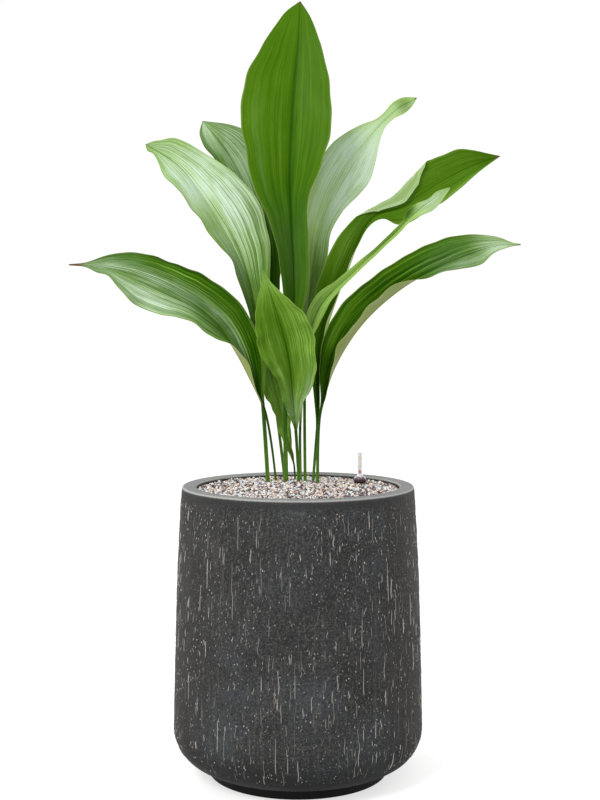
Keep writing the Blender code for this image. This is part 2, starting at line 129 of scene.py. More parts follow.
class Paint:
    """A material under construction, with short calls for its nodes."""

    def __init__(self, name):
        self.material = bpy.data.materials.new(name)
        self.material.use_nodes = True
        self.tree = self.material.node_tree
        self.shader = self.tree.nodes["Principled BSDF"]

    def node(self, kind, **settings):
        made = self.tree.nodes.new(kind)
        for key, value in settings.items():
            setattr(made, key, value)
        return made

    def link(self, source, target):
        self.tree.links.new(source, target)

    def attribute(self, name):
        return self.node("ShaderNodeAttribute", attribute_name=name).outputs["Fac"]

    def vector_attribute(self, name):
        return self.node("ShaderNodeAttribute", attribute_name=name).outputs["Vector"]

    def position(self, scale=(1.0, 1.0, 1.0)):
        coords = self.node("ShaderNodeTexCoord").outputs["Object"]
        return self.scaled(coords, scale)

    def scaled(self, vector, scale):
        mapping = self.node("ShaderNodeMapping")
        mapping.inputs["Scale"].default_value = scale
        self.link(vector, mapping.inputs["Vector"])
        return mapping.outputs["Vector"]

    def noise(self, vector, scale=1.0, detail=3.0, roughness=0.5):
        made = self.node("ShaderNodeTexNoise")
        made.inputs["Scale"].default_value = scale
        made.inputs["Detail"].default_value = detail
        made.inputs["Roughness"].default_value = roughness
        self.link(vector, made.inputs["Vector"])
        return made.outputs["Fac"]

    def math(self, operation, first, second=0.0, clamp=False):
        made = self.node("ShaderNodeMath", operation=operation, use_clamp=clamp)
        for socket, value in zip(made.inputs, (first, second)):
            if isinstance(value, (int, float)):
                socket.default_value = value
            else:
                self.link(value, socket)
        return made.outputs[0]

    def remap(self, value, low, high, to_low=0.0, to_high=1.0):
        made = self.node("ShaderNodeMapRange", interpolation_type="SMOOTHSTEP")
        self.link(value, made.inputs["Value"])
        for key, number in (("From Min", low), ("From Max", high),
                            ("To Min", to_low), ("To Max", to_high)):
            made.inputs[key].default_value = number
        return made.outputs["Result"]

    def mix(self, factor, first, second):
        made = self.node("ShaderNodeMix", data_type="RGBA")
        for key, value in ((0, factor), (6, first), (7, second)):
            socket = made.inputs[key]
            if isinstance(value, (int, float)):
                socket.default_value = value
            elif isinstance(value, tuple):
                socket.default_value = (*value, 1.0)
            else:
                self.link(value, socket)
        return made.outputs[2]

    def ramp(self, value, stops, interpolation="LINEAR"):
        made = self.node("ShaderNodeValToRGB")
        elements = made.color_ramp.elements
        made.color_ramp.interpolation = interpolation
        while len(elements) < len(stops):
            elements.new(0.5)
        for element, (at, colour) in zip(elements, stops):
            element.position = at
            element.color = (*colour, 1.0)
        self.link(value, made.inputs["Fac"])
        return made.outputs["Color"]

    def bump(self, height, distance, strength=1.0):
        made = self.node("ShaderNodeBump")
        made.inputs["Distance"].default_value = distance
        made.inputs["Strength"].default_value = strength
        self.link(height, made.inputs["Height"])
        self.link(made.outputs["Normal"], self.shader.inputs["Normal"])

    def colour(self, source):
        self.link(source, self.shader.inputs["Base Color"])

    def roughness(self, source):
        if isinstance(source, (int, float)):
            self.shader.inputs["Roughness"].default_value = source
        else:
            self.link(source, self.shader.inputs["Roughness"])


def leaf_material(name):
    """Waxy leaf: parallel veins, paler zones of painted sheen and of paler underside, cream
    margin and dry brown tip.

    The mesh gives 'vein' (across, along, seed) and the amounts 'tone', 'streak', 'cream',
    'brown', 'rib' and one for the painted sheen and paler underside.
    """
    paint = Paint(name)
    vein = paint.vector_attribute("vein")
    fine = paint.noise(paint.scaled(vein, (36.0, 2.6, 1.0)), 1.0, 3.0, 0.65)
    broad = paint.noise(paint.scaled(vein, (11.0, 1.1, 3.0)), 1.0, 3.0, 0.55)
    mottle = paint.noise(paint.scaled(vein, (5.0, 9.0, 1.0)), 1.0, 4.0, 0.6)
    hair = paint.noise(paint.scaled(vein, (95.0, 2.5, 1.0)), 1.0, 1.0, 0.5)
    streaks = paint.math("ADD", paint.remap(broad, 0.3, 0.7, -0.12, 0.12),
                         paint.remap(fine, 0.25, 0.75, -0.22, 0.22))
    streaks = paint.math("ADD", streaks, paint.remap(hair, 0.25, 0.75, -0.12, 0.12))
    lit = paint.math("ADD", paint.attribute("tone"),
                     paint.math("MULTIPLY", streaks, paint.attribute("streak")))
    lit = paint.math("ADD", lit, paint.remap(mottle, 0.3, 0.7, -0.04, 0.04), clamp=True)
    green = paint.ramp(lit, [(0.0, (0.004, 0.019, 0.0)), (0.2, (0.010, 0.051, 0.0)),
                             (0.4, (0.025, 0.084, 0.0005)), (0.5, (0.040, 0.110, 0.001)),
                             (0.65, (0.061, 0.148, 0.006)), (0.8, (0.108, 0.215, 0.022)),
                             (1.0, (0.25, 0.41, 0.095))])
    # The paler zones: painted sheen, standing for reflections on the wax, and on the backs also
    # the paler underside.
    patch = paint.noise(paint.scaled(vein, (3.0, 7.0, 1.0)), 1.0, 3.0, 0.6)
    pale_and_painted_sheen_share = paint.math("MULTIPLY", paint.remap(patch, 0.34, 0.6, 0.55, 1.12),
                       paint.attribute("pale_and_painted_sheen"))
    pale_and_painted_sheen_share = paint.math("MULTIPLY", pale_and_painted_sheen_share, paint.remap(fine, 0.3, 0.7, 0.7, 1.15), clamp=True)
    pale_and_painted_sheen_green = paint.ramp(lit, [(0.0, (0.055, 0.112, 0.027)), (0.35, (0.125, 0.21, 0.085)),
                                  (0.6, (0.235, 0.34, 0.195)), (0.85, (0.37, 0.47, 0.31)),
                                  (1.0, (0.49, 0.62, 0.50))])
    colour = paint.mix(pale_and_painted_sheen_share, green, pale_and_painted_sheen_green)
    colour = paint.mix(paint.attribute("rib"), colour, (0.020, 0.062, 0.008))
    colour = paint.mix(paint.attribute("cream"), colour, (0.40, 0.41, 0.14))
    colour = paint.mix(paint.attribute("brown"), colour, (0.11, 0.055, 0.025))
    paint.colour(colour)
    paint.roughness(paint.remap(mottle, 0.3, 0.7, 0.34, 0.44))
    paint.bump(fine, 0.00025, 0.6)
    paint.link(paint.remap(pale_and_painted_sheen_share, 0.0, 1.0, 0.03, 0.14),
               paint.shader.inputs["Specular IOR Level"])
    return paint.material


def planter_material():
    """Charcoal cast composite: cloudy, faintly hatched both ways, with a fine tooth."""
    paint = Paint("planter_composite")
    spot = paint.position()
    cloud = paint.noise(spot, 11.0, 4.0, 0.6)
    painted_side_shade = paint.noise(paint.position((14.0, 14.0, 3.0)), 1.0, 3.0, 0.55)
    grit = paint.noise(spot, 420.0, 3.0, 0.6)
    upright = paint.noise(paint.position((260.0, 260.0, 14.0)), 1.0, 3.0, 0.6)
    level = paint.noise(paint.position((26.0, 26.0, 330.0)), 1.0, 2.0, 0.5)
    colour = paint.ramp(cloud, [(0.32, (0.014, 0.0138, 0.0138)), (0.5, (0.023, 0.0235, 0.0245)),
                                (0.66, (0.033, 0.039, 0.043))])
    # Painted shade with a warm brown cast of painted light on the planter's left and right
    # sides, as seen from the front, broken up by noise.
    painted_warm_cast = paint.math("MULTIPLY", paint.remap(painted_side_shade, 0.38, 0.6, 0.15, 1.0),
                        paint.attribute("painted_side_shade"))
    colour = paint.mix(painted_warm_cast, colour, (0.021, 0.0168, 0.0138))
    colour = paint.mix(paint.remap(upright, 0.52, 0.74, 0.0, 0.5), colour,
                       (0.068, 0.064, 0.058))
    colour = paint.mix(paint.remap(level, 0.56, 0.75, 0.0, 0.4), colour, (0.052, 0.052, 0.052))
    colour = paint.mix(paint.remap(grit, 0.50, 0.70, 0.0, 0.6), colour, (0.085, 0.083, 0.079))
    colour = paint.mix(paint.remap(grit, 0.34, 0.48, 0.65, 0.0), colour, (0.006, 0.006, 0.006))
    # Painted shade: darker still on the left and right sides.
    side = paint.math("MULTIPLY", paint.attribute("painted_side_shade"), 0.45)
    colour = paint.mix(side, colour, (0.011, 0.009, 0.0075))
    # Painted shade: darker towards the underside and the foot.
    colour = paint.mix(paint.attribute("low"), colour, (0.003, 0.003, 0.003))
    colour = paint.mix(paint.attribute("band"), colour, (0.020, 0.020, 0.021))
    # Painted light on the rim's flat top, lighter grey, and painted highlights along its rounded
    # edges.
    edge = paint.mix(grit, (0.23, 0.23, 0.225), (0.38, 0.38, 0.37))
    top = paint.ramp(grit, [(0.3, (0.11, 0.113, 0.116)), (0.7, (0.20, 0.203, 0.205))])
    colour = paint.mix(paint.attribute("rim"), colour, top)
    colour = paint.mix(paint.attribute("edge"), colour, edge)
    # Painted shade: the recessed foot nearly black.
    colour = paint.mix(paint.attribute("foot"), colour, (0.001, 0.001, 0.001))
    paint.colour(colour)
    paint.roughness(paint.remap(cloud, 0.3, 0.7, 0.66, 0.82))
    rough = paint.math("ADD", paint.math("MULTIPLY", grit, 0.5), upright)
    rough = paint.math("ADD", rough, paint.math("MULTIPLY", level, 0.4))
    paint.bump(rough, 0.0010, 0.9)
    paint.shader.inputs["Specular IOR Level"].default_value = 0.18
    return paint.material


def drip_material():
    """The raised drips and dots, paler than the planter's ground, the taller ones palest."""
    paint = Paint("planter_drips")
    tone = paint.attribute("tone")
    grit = paint.noise(paint.position(), 500.0, 2.0, 0.5)
    colour = paint.ramp(tone, [(0.0, (0.045, 0.045, 0.044)), (0.5, (0.14, 0.137, 0.128)),
                               (1.0, (0.36, 0.345, 0.32))])
    colour = paint.mix(paint.remap(grit, 0.45, 0.7, 0.0, 0.5), colour, (0.05, 0.05, 0.048))
    paint.colour(colour)
    paint.roughness(0.6)
    paint.shader.inputs["Specular IOR Level"].default_value = 0.25
    return paint.material


def granule_material(name):
    """Mineral granules: pale blue-white, pinkish beige and mauve brown."""
    paint = Paint(name)
    speck = paint.noise(paint.position(), 900.0, 3.0, 0.6)
    colour = paint.ramp(paint.attribute("tone"), [
        (0.0, (0.50, 0.60, 0.66)), (0.15, (0.72, 0.72, 0.70)), (0.28, (0.66, 0.55, 0.46)),
        (0.44, (0.44, 0.35, 0.30)), (0.58, (0.24, 0.17, 0.16)), (0.70, (0.105, 0.068, 0.074)),
        (0.86, (0.045, 0.028, 0.032))], "CONSTANT")
    colour = paint.mix(paint.remap(speck, 0.35, 0.75, 0.0, 0.35), colour, (0.20, 0.155, 0.14))
    paint.colour(colour)
    paint.roughness(0.9)
    paint.bump(speck, 0.0004, 0.6)
    return paint.material


def bed_material():
    """The granules below the top layer, darkened as painted shade."""
    paint = Paint("granule_bed")
    grain = paint.noise(paint.position(), 420.0, 3.0, 0.6)
    paint.colour(paint.ramp(grain, [(0.35, (0.06, 0.04, 0.035)), (0.6, (0.20, 0.15, 0.13))]))
    paint.roughness(0.95)
    paint.bump(grain, 0.001, 0.8)
    return paint.material


def rootstock_material():
    paint = Paint("rootstock")
    bark = paint.noise(paint.position((60.0, 200.0, 200.0)), 1.0, 4.0, 0.6)
    paint.colour(paint.ramp(bark, [(0.3, (0.20, 0.13, 0.07)), (0.7, (0.42, 0.32, 0.19))]))
    paint.roughness(0.8)
    paint.bump(bark, 0.001, 0.8)
    return paint.material


def cap_material():
    """Moulded cap, milky at its crown and dark mauve brown below."""
    paint = Paint("gauge_cap_plastic")
    height = paint.node("ShaderNodeSeparateXYZ")
    paint.link(paint.node("ShaderNodeTexCoord").outputs["Object"], height.inputs["Vector"])
    cloudy = paint.noise(paint.position(), 260.0, 2.0, 0.5)
    level = paint.math("ADD", height.outputs["Z"],
                       paint.remap(cloudy, 0.3, 0.7, -0.0012, 0.0012))
    low, high = CAP_LOW[2] * MM, CAP_HIGH[2] * MM
    share = paint.remap(level, low + 0.0035, high - 0.001)
    paint.colour(paint.ramp(share, [(0.0, (0.035, 0.018, 0.026)), (0.55, (0.11, 0.07, 0.09)),
                                    (1.0, (0.62, 0.58, 0.60))]))
    paint.roughness(0.28)
    return paint.material


CLEAR_WALL_ALPHA = 0.22        # of each of the four surfaces that a look passes through


def clear_material():
    """The sight tube's thin, slightly milky wall."""
    paint = Paint("gauge_clear")
    haze = paint.noise(paint.position(), 300.0, 2.0, 0.5)
    paint.colour(paint.ramp(haze, [(0.3, (0.43, 0.415, 0.39)), (0.7, (0.45, 0.435, 0.41))]))
    paint.roughness(paint.remap(haze, 0.3, 0.7, 0.22, 0.30))
    paint.shader.inputs["Alpha"].default_value = CLEAR_WALL_ALPHA
    paint.shader.inputs["Specular IOR Level"].default_value = 0.0
    return paint.material


def plastic_material(name, dark, light, roughness):
    """A moulded plastic with a slight cloudiness."""
    paint = Paint(name)
    cloud = paint.noise(paint.position(), 180.0, 3.0, 0.5)
    paint.colour(paint.ramp(cloud, [(0.3, dark), (0.7, light)]))
    paint.roughness(paint.remap(cloud, 0.3, 0.7, roughness * 0.9, roughness * 1.1))
    paint.bump(cloud, 0.0001, 0.4)
    return paint.material


# ---------------------------------------------------------------- meshes

def make_piece(name, points, faces, material, smooth=True):
    """An object of its own. Points are millimetres, an array of N by 3."""
    mesh = bpy.data.meshes.new(name)
    points = np.asarray(points, float) * MM
    faces = np.asarray(faces, int)
    sides = faces.shape[1]
    mesh.vertices.add(len(points))
    mesh.vertices.foreach_set("co", points.ravel())
    mesh.loops.add(faces.size)
    mesh.loops.foreach_set("vertex_index", faces.ravel())
    mesh.polygons.add(len(faces))
    mesh.polygons.foreach_set("loop_start", np.arange(len(faces)) * sides)
    mesh.polygons.foreach_set("loop_total", np.full(len(faces), sides))
    mesh.update(calc_edges=True)
    if smooth:
        mesh.shade_smooth()
    mesh.materials.append(material)
    piece = bpy.data.objects.new(name, mesh)
    bpy.context.scene.collection.objects.link(piece)
    return piece


def set_float(piece, name, values):
    layer = piece.data.attributes.new(name, "FLOAT", "POINT")
    layer.data.foreach_set("value", np.asarray(values, float).ravel())


def set_vector(piece, name, values):
    layer = piece.data.attributes.new(name, "FLOAT_VECTOR", "POINT")
    layer.data.foreach_set("vector", np.asarray(values, float).ravel())


def unit(vectors):
    return vectors / np.maximum(np.linalg.norm(vectors, axis=-1, keepdims=True), 1e-9)


def smoothstep(value, low, high):
    s = np.clip((value - low) / (high - low), 0.0, 1.0)
    return s * s * (3 - 2 * s)


def smooth_curve(knots, values, at):
    """A smooth curve through values at the given knots, read at many places."""
    knots, values = np.asarray(knots, float), np.asarray(values, float)
    at = np.clip(at, knots[0], knots[-1])
    slopes = np.gradient(values, knots, axis=0)
    i = np.clip(np.searchsorted(knots, at, side="right") - 1, 0, len(knots) - 2)
    span = knots[i + 1] - knots[i]
    s = (at - knots[i]) / span
    if values.ndim > 1:
        s, span = s[:, None], span[:, None]
    return ((1 + 2 * s) * (1 - s) ** 2 * values[i] + s * (1 - s) ** 2 * span * slopes[i]
            + s * s * (3 - 2 * s) * values[i + 1] - s * s * (1 - s) * span * slopes[i + 1])


# ---------------------------------------------------------------- leaves

# A leaf's 'stations' run up its midrib: x, y, z and how far, in degrees, its left and right
# halves lean to the front. 'left' and 'right' are its half widths: share of the blade's length
# and millimetres. 'curl' bends the margins on and 'roll' turns the left one over. 'root' is
# where its stalk leaves the rootstock, and 'stalk' the stalk's radius below and above. 'front'
# and 'back' are paler zones on its two faces, painted sheen and on the back also the paler
# underside, and 'shade' zones of darker green, partly its own and partly painted shade (of
# lighter, painted light, where negative): across, along, their reach across and along, and the
# amount. 'tone' and 'back_tone' set how light the faces are, raised in part as painted light
# on faces that stand in shade, 'dim' how much darker the stalk is, 'streak' the contrast of
# the veins, and 'edge', 'back_cream' and 'brown' the margin, back and dry tip.
LEAVES = {
    "left_lower": dict(
        stations=[(-48, 6, 503, 100, 50), (-65, 0, 538, 105, 30), (-81, -8, 570, 105, 10),
                  (-107, -18, 611, 72, 0), (-133, -28, 634, 50, 0), (-175, -42, 659, 15, 0),
                  (-222, -56, 679, 5, 5), (-268, -68, 689, 0, 20), (-297, -72, 690, 0, 20)],
        left=[(0, 1.7), (0.1, 14), (0.2, 25), (0.38, 35), (0.5, 30), (0.65, 36), (0.72, 34),
              (0.8, 21), (0.85, 9), (0.89, 8), (0.94, 2.5), (1, 0.8)],
        right=[(0, 1.7), (0.05, 8), (0.1, 18), (0.2, 33), (0.3, 44), (0.4, 45), (0.5, 43),
               (0.6, 41), (0.7, 36.5), (0.8, 26.5), (0.87, 16), (0.93, 4.5), (1, 0.8)],
        curl=(0, -40), root=(-29, 27), stalk=(1.5, 1.7), dim=0.22,
        tone=0.54, back_tone=0.72, streak=1.4, edge=0.45, back_cream=0.42, brown=0.045,
        front=[(-0.55, 0.68, 0.6, 0.26, 0.95), (0.2, 0.9, 0.7, 0.14, 0.9),
               (0.22, 0.36, 0.14, 0.3, 0.7), (0.15, 0.66, 0.3, 0.25, 0.75)],
        back=[],
        shade=[(0.95, 0.5, 0.35, 0.6, 0.16), (-0.2, 0.42, 0.45, 0.14, 0.16),
               (0.2, 0.05, 2.0, 0.15, 0.25), (-0.5, 0.7, 0.8, 0.3, -0.2)]),
    "left_upper": dict(
        stations=[(-49, 38, 505, 60, 50), (-55, 42, 584, 65, 40), (-64, 44, 648, 70, 25),
                  (-79, 46, 698, 70, 15), (-101, 48, 742, 64, 5), (-129, 50, 786, 60, 0),
                  (-166, 54, 832, 30, 5), (-211, 60, 861, 0, 30)],
        left=[(0, 2.8), (0.15, 6), (0.3, 17), (0.4, 31), (0.5, 38), (0.65, 44), (0.72, 43),
              (0.8, 36), (0.86, 30), (0.9, 23), (0.94, 11), (0.965, 6), (0.985, 6.5),
              (1, 0.4)],
        right=[(0, 2.6), (0.1, 10), (0.2, 20), (0.3, 28), (0.4, 32), (0.5, 48), (0.58, 58),
               (0.65, 60), (0.72, 56), (0.8, 46), (0.86, 36), (0.9, 30.5), (0.93, 27),
               (0.96, 16), (0.98, 10), (1, 0.4)],
        curl=(0, -20), root=(-41, 31), stalk=(3.0, 2.6),
        tone=0.82, back_tone=0.7, streak=1.15, edge=0.4, back_cream=0.1, brown=0.004,
        front=[(0.45, 0.72, 0.75, 0.26, 1.0), (-0.4, 0.8, 0.9, 0.17, 0.95),
               (-0.5, 0.5, 0.6, 0.2, 0.5)],
        back=[(0.0, 0.5, 2.0, 1.0, 0.5)],
        shade=[(0.0, 0.25, 2.0, 0.22, 0.3), (0.4, 0.74, 0.9, 0.18, -0.2),
               (-0.5, 0.74, 0.6, 0.15, -0.1)]),
    "left_back": dict(
        stations=[(-32, 64, 506, 60, 60), (-40, 82, 604, 50, 50), (-49, 104, 710, 40, 40),
                  (-69, 124, 790, 30, 20), (-99, 142, 853, 20, 0), (-139, 160, 907, 30, 10)],
        left=[(0, 2), (0.1, 7), (0.2, 15), (0.3, 23), (0.45, 32), (0.6, 34), (0.75, 30),
              (0.85, 23), (0.93, 23), (0.97, 15), (1, 0.4)],
        right=[(0, 2), (0.1, 6), (0.2, 14), (0.3, 22), (0.45, 31), (0.6, 38), (0.75, 45),
               (0.83, 48), (0.88, 40), (0.93, 27), (0.97, 12), (1, 0.4)],
        curl=(10, 0), root=(-16, 27), stalk=(2.2, 2.0),
        tone=0.58, back_tone=0.55, streak=1.1, edge=0.3, back_cream=0.1, brown=0.004,
        front=[(-0.3, 0.95, 0.6, 0.14, 1.0), (0.2, 0.85, 1.0, 0.25, 0.7)],
        back=[(0.0, 0.5, 2.0, 1.0, 0.5)],
        shade=[(-1.0, 0.85, 0.3, 0.2, 0.25), (0.0, 0.4, 2.0, 0.3, 0.3),
               (-0.3, 0.97, 0.8, 0.08, -0.3)]),
    "centre": dict(
        stations=[(-17, 24, 506, 70, 60), (-11, 26, 577, 60, 55), (-5, 28, 646, 52, 48),
                  (-8, 32, 728, 42, 36), (-11, 38, 810, 22, 24), (-6, 46, 920, 10, 18),
                  (0, 54, 996, 10, 10), (3, 60, 1056, 0, 0)],
        left=[(0, 2.8), (0.1, 5), (0.2, 15), (0.3, 28), (0.38, 30), (0.45, 38), (0.55, 56),
              (0.65, 69), (0.72, 73), (0.78, 69), (0.85, 56), (0.9, 44), (0.94, 31),
              (0.98, 14.5), (1, 0.4)],
        right=[(0, 2.8), (0.1, 5), (0.2, 15), (0.28, 28), (0.35, 29), (0.42, 26), (0.5, 27),
               (0.56, 42), (0.63, 54), (0.68, 57), (0.75, 53), (0.85, 40), (0.9, 30.5),
               (0.94, 21), (0.98, 8.5), (1, 0.4)],
        root=(-16, 19), stalk=(3.2, 2.8),
        tone=0.53, back_tone=0.58, streak=0.32, edge=0.25, back_cream=0.0, brown=0.006,
        front=[(-0.72, 0.6, 0.08, 0.14, 0.1), (0.0, 0.36, 2.0, 0.12, 0.12)],
        back=[(0.0, 0.5, 2.0, 1.0, 0.4)],
        shade=[(0.03, 0.62, 0.11, 0.4, 0.1), (0.0, 0.42, 2.0, 0.16, 0.12),
               (-0.8, 0.68, 0.3, 0.15, -0.08)]),
    "right_back": dict(
        stations=[(3, 52, 470, -120, 130), (10, 62, 576, -110, 150), (17, 72, 667, -150, 110),
                  (28, 80, 733, -170, 150), (51, 88, 801, -180, 180), (85, 96, 858, -180, 180),
                  (122, 102, 900, -180, 180), (140, 104, 916, -180, 180),
                  (168, 106, 932, -170, 170)],
        left=[(0, 1.9), (0.1, 7), (0.2, 14), (0.3, 18), (0.4, 19), (0.48, 19), (0.54, 16),
              (0.6, 22), (0.68, 35), (0.74, 36.5), (0.79, 29), (0.84, 16), (0.88, 8),
              (0.91, 8), (0.95, 11), (0.98, 7), (1, 0.4)],
        right=[(0, 1.9), (0.1, 5), (0.2, 12), (0.3, 20), (0.45, 29), (0.6, 37), (0.7, 39),
               (0.78, 32), (0.84, 19), (0.88, 9), (0.91, 8), (0.94, 11), (0.97, 9),
               (1, 0.4)],
        root=(4, 21), stalk=(1.9, 1.9),
        tone=0.5, back_tone=1.26, streak=0.8, edge=0.3, back_cream=0.05, brown=0.004,
        front=[],
        back=[(0.4, 0.76, 0.7, 0.17, 0.95), (-0.5, 0.72, 0.8, 0.24, 1.0),
              (0.0, 0.64, 2.0, 0.2, 0.5)],
        shade=[(0.0, 0.3, 2.0, 0.24, 0.8), (0.0, 0.96, 2.0, 0.035, 0.5),
               (0.0, 0.65, 0.08, 0.3, 0.3)]),
    "right_mid": dict(
        stations=[(26, 18, 467, 60, 60), (33, 40, 577, 40, 90), (67, 60, 681, 25, 95),
                  (107, 78, 763, 20, 64), (147, 88, 778, 10, 18), (201, 100, 812, 10, 5),
                  (252, 108, 838, 15, 10), (288, 114, 851, 20, 20)],
        left=[(0, 1.9), (0.1, 11), (0.2, 21), (0.3, 32), (0.4, 38), (0.46, 36), (0.55, 24),
              (0.6, 19), (0.65, 28), (0.7, 43), (0.75, 46), (0.8, 36), (0.85, 33),
              (0.9, 30), (0.93, 21.5), (0.97, 9), (1, 0.4)],
        right=[(0, 1.9), (0.1, 8), (0.2, 15), (0.3, 21), (0.45, 27), (0.55, 30), (0.62, 28),
               (0.68, 26), (0.73, 24), (0.8, 25.5), (0.85, 22), (0.9, 16), (0.95, 8),
               (1, 0.4)],
        roll=(165, (0.57, 0.62, 0.70, 0.76, 0.82), (1.0, 0.52, 0.48, 0.6, 1.0)),
        root=(19, 11), stalk=(1.9, 1.9),
        tone=0.6, back_tone=0.88, streak=0.55, edge=0.3, back_cream=0.1, brown=0.012,
        front=[],
        back=[(0.0, 0.7, 2.0, 0.3, 0.6)],
        shade=[(0.0, 0.97, 2.0, 0.05, 0.12), (0.0, 0.1, 2.0, 0.2, 0.25),
               (-0.6, 0.5, 0.6, 0.12, -0.12), (0.9, 0.85, 0.2, 0.2, -0.2)]),
    "right_narrow": dict(
        stations=[(9, 6, 509, 60, 60), (11, 0, 584, 60, 50), (30, -10, 636, 40, 30),
                  (83, -24, 690, 20, 20), (129, -38, 734, 50, 60), (160, -48, 764, 10, 10),
                  (199, -58, 791, 0, 10)],
        left=[(0, 2.1), (0.15, 8), (0.25, 13), (0.33, 19), (0.4, 15), (0.46, 9), (0.55, 7),
              (0.65, 5.5), (0.75, 6), (0.79, 5), (0.83, 9), (0.87, 8), (0.91, 4), (0.95, 5.5),
              (1, 0.4)],
        right=[(0, 2.1), (0.15, 8), (0.25, 9), (0.35, 10), (0.42, 7), (0.5, 5), (0.6, 4),
               (0.7, 6), (0.76, 7), (0.8, 5), (0.85, 8), (0.9, 12), (0.94, 9.5), (0.97, 5),
               (1, 0.4)],
        root=(10, 13), stalk=(2.1, 2.0),
        tone=0.93, back_tone=0.92, streak=0.5, edge=0.3, back_cream=0.05, brown=0.004,
        front=[(0.0, 0.92, 1.5, 0.08, 0.6)],
        back=[(0.0, 0.85, 1.5, 0.2, 0.5)],
        shade=[(-0.8, 0.83, 0.5, 0.03, 0.6), (0.0, 0.0, 2.0, 0.15, 0.3)]),
    "right_lower": dict(
        stations=[(31, -8, 497, 40, 80), (48, -24, 552, 20, 98), (85, -44, 613, 5, 108),
                  (133, -64, 658, 0, 105), (183, -82, 687, 0, 60), (226, -96, 705, 10, 20),
                  (261, -106, 714, 10, 20), (282, -112, 714, 5, 5)],
        left=[(0, 1.9), (0.06, 7), (0.13, 17), (0.2, 28), (0.3, 36), (0.4, 37), (0.5, 35),
              (0.6, 33.5), (0.7, 32.5), (0.8, 28.5), (0.87, 21), (0.93, 10.5), (0.97, 2.5),
              (1, 0.8)],
        right=[(0, 1.9), (0.08, 12), (0.16, 23), (0.3, 32), (0.45, 36), (0.55, 34),
               (0.63, 24), (0.7, 14), (0.76, 15), (0.82, 18), (0.86, 17.5), (0.9, 10),
               (0.95, 5), (0.98, 2), (1, 0.8)],
        root=(27, 6), stalk=(2.2, 2.0),
        tone=0.45, back_tone=0.47, streak=1.3, edge=0.45, back_cream=0.36, brown=0.006,
        front=[(0.1, 0.93, 1.2, 0.09, 1.0), (0.7, 0.8, 0.7, 0.12, 0.75),
               (-0.2, 0.76, 0.6, 0.1, 0.25)],
        back=[],
        shade=[(-0.6, 0.5, 0.4, 0.3, 0.1), (0.0, 0.05, 2.0, 0.2, 0.15),
               (0.0, 0.93, 2.0, 0.1, -0.35)]),
    "front_young": dict(
        stations=[(-3, -6, 469, 60, 50), (-7, -24, 518, 45, 40), (-13, -50, 572, 30, 25),
                  (-25, -72, 621, 25, 20), (-36, -86, 655, 10, 20), (-45, -96, 684, 0, 20)],
        left=[(0, 2.1), (0.05, 7), (0.12, 13), (0.2, 17), (0.26, 17.5), (0.35, 23),
              (0.45, 32.5), (0.58, 39.5), (0.66, 39), (0.75, 32.5), (0.85, 19), (0.92, 8),
              (0.97, 2.5), (1, 0.4)],
        right=[(0, 2.1), (0.05, 7), (0.12, 12), (0.2, 19), (0.3, 32), (0.38, 38.5),
               (0.5, 40), (0.62, 40), (0.7, 36.5), (0.8, 23), (0.86, 12.5), (0.92, 5),
               (0.97, 1.5), (1, 0.4)],
        root=(2, 10), stalk=(2.0, 2.1),
        tone=0.71, back_tone=0.74, streak=0.6, edge=0.2, back_cream=0.0, brown=0.003,
        front=[(0.0, 0.1, 2.0, 0.12, 0.3), (0.85, 0.22, 0.25, 0.15, 0.4)],
        back=[(0.0, 0.5, 2.0, 1.0, 0.3)],
        shade=[(0.0, 0.42, 0.25, 0.3, 0.1), (-0.3, 0.68, 0.5, 0.14, 0.08),
               (0.9, 0.6, 0.4, 0.35, -0.12), (0.0, 0.93, 2.0, 0.09, -0.14),
               (0.2, 0.14, 0.8, 0.14, -0.16),
               (-0.6, 0.36, 0.2, 0.1, -0.12)]),
    "back_small": dict(
        stations=[(-6, 36, 420, 50, 50), (-14, 40, 451, 45, 45), (-21, 44, 479, 40, 40),
                  (-28, 48, 507, 35, 35), (-39, 54, 546, 30, 30), (-47, 60, 583, 30, 30)],
        left=[(0, 1.2), (0.1, 6), (0.2, 9), (0.35, 11.5), (0.52, 15), (0.6, 17),
              (0.8, 14), (1, 0.4)],
        right=[(0, 1.2), (0.1, 5), (0.2, 9), (0.35, 11), (0.52, 13), (0.8, 11), (1, 0.4)],
        root=(-4, 21), stalk=(1.2, 1.3), dim=0.15,
        tone=0.8, back_tone=0.6, streak=0.5, edge=0.2, back_cream=0.0, brown=0.01,
        front=[],
        back=[],
        shade=[]),
}
YOUNG = ("right_narrow", "front_young")

BLADE_ROWS = 130
STALK_ROWS = 34
HALF_COLUMNS = 44
RIBS = 12                      # raised ribs between the midrib and each margin
BLADE_THICK = 0.75
MARGIN_THICK = 0.3
COLLAR = 0.06                  # the share of the blade over which it rounds into its stalk
RHIZOME_TOP = 369.0
STALK_TONES = (0.62, 0.22)     # at the granules and at the blade
STALK_PALE = 0.06


def midrib(leaf):
    """Places along the blade, the points of its midrib there and the tilts of its halves."""
    stations = np.array(leaf["stations"], float)
    spans = np.linalg.norm(np.diff(stations[:, :3], axis=0), axis=1) ** 0.7
    knots = np.concatenate([[0.0], np.cumsum(spans)])
    fine = np.linspace(0.0, knots[-1], 800)
    path = smooth_curve(knots, stations[:, :3], fine)
    steps = np.linalg.norm(np.diff(path, axis=0), axis=1)
    length = np.concatenate([[0.0], np.cumsum(steps)])
    along = np.linspace(0.0, 1.0, BLADE_ROWS)
    at = np.interp(along * length[-1], length, fine)
    points = smooth_curve(knots, stations[:, :3], at)
    tilts = np.radians(smooth_curve(knots, stations[:, 3:], at))
    return along, points, tilts


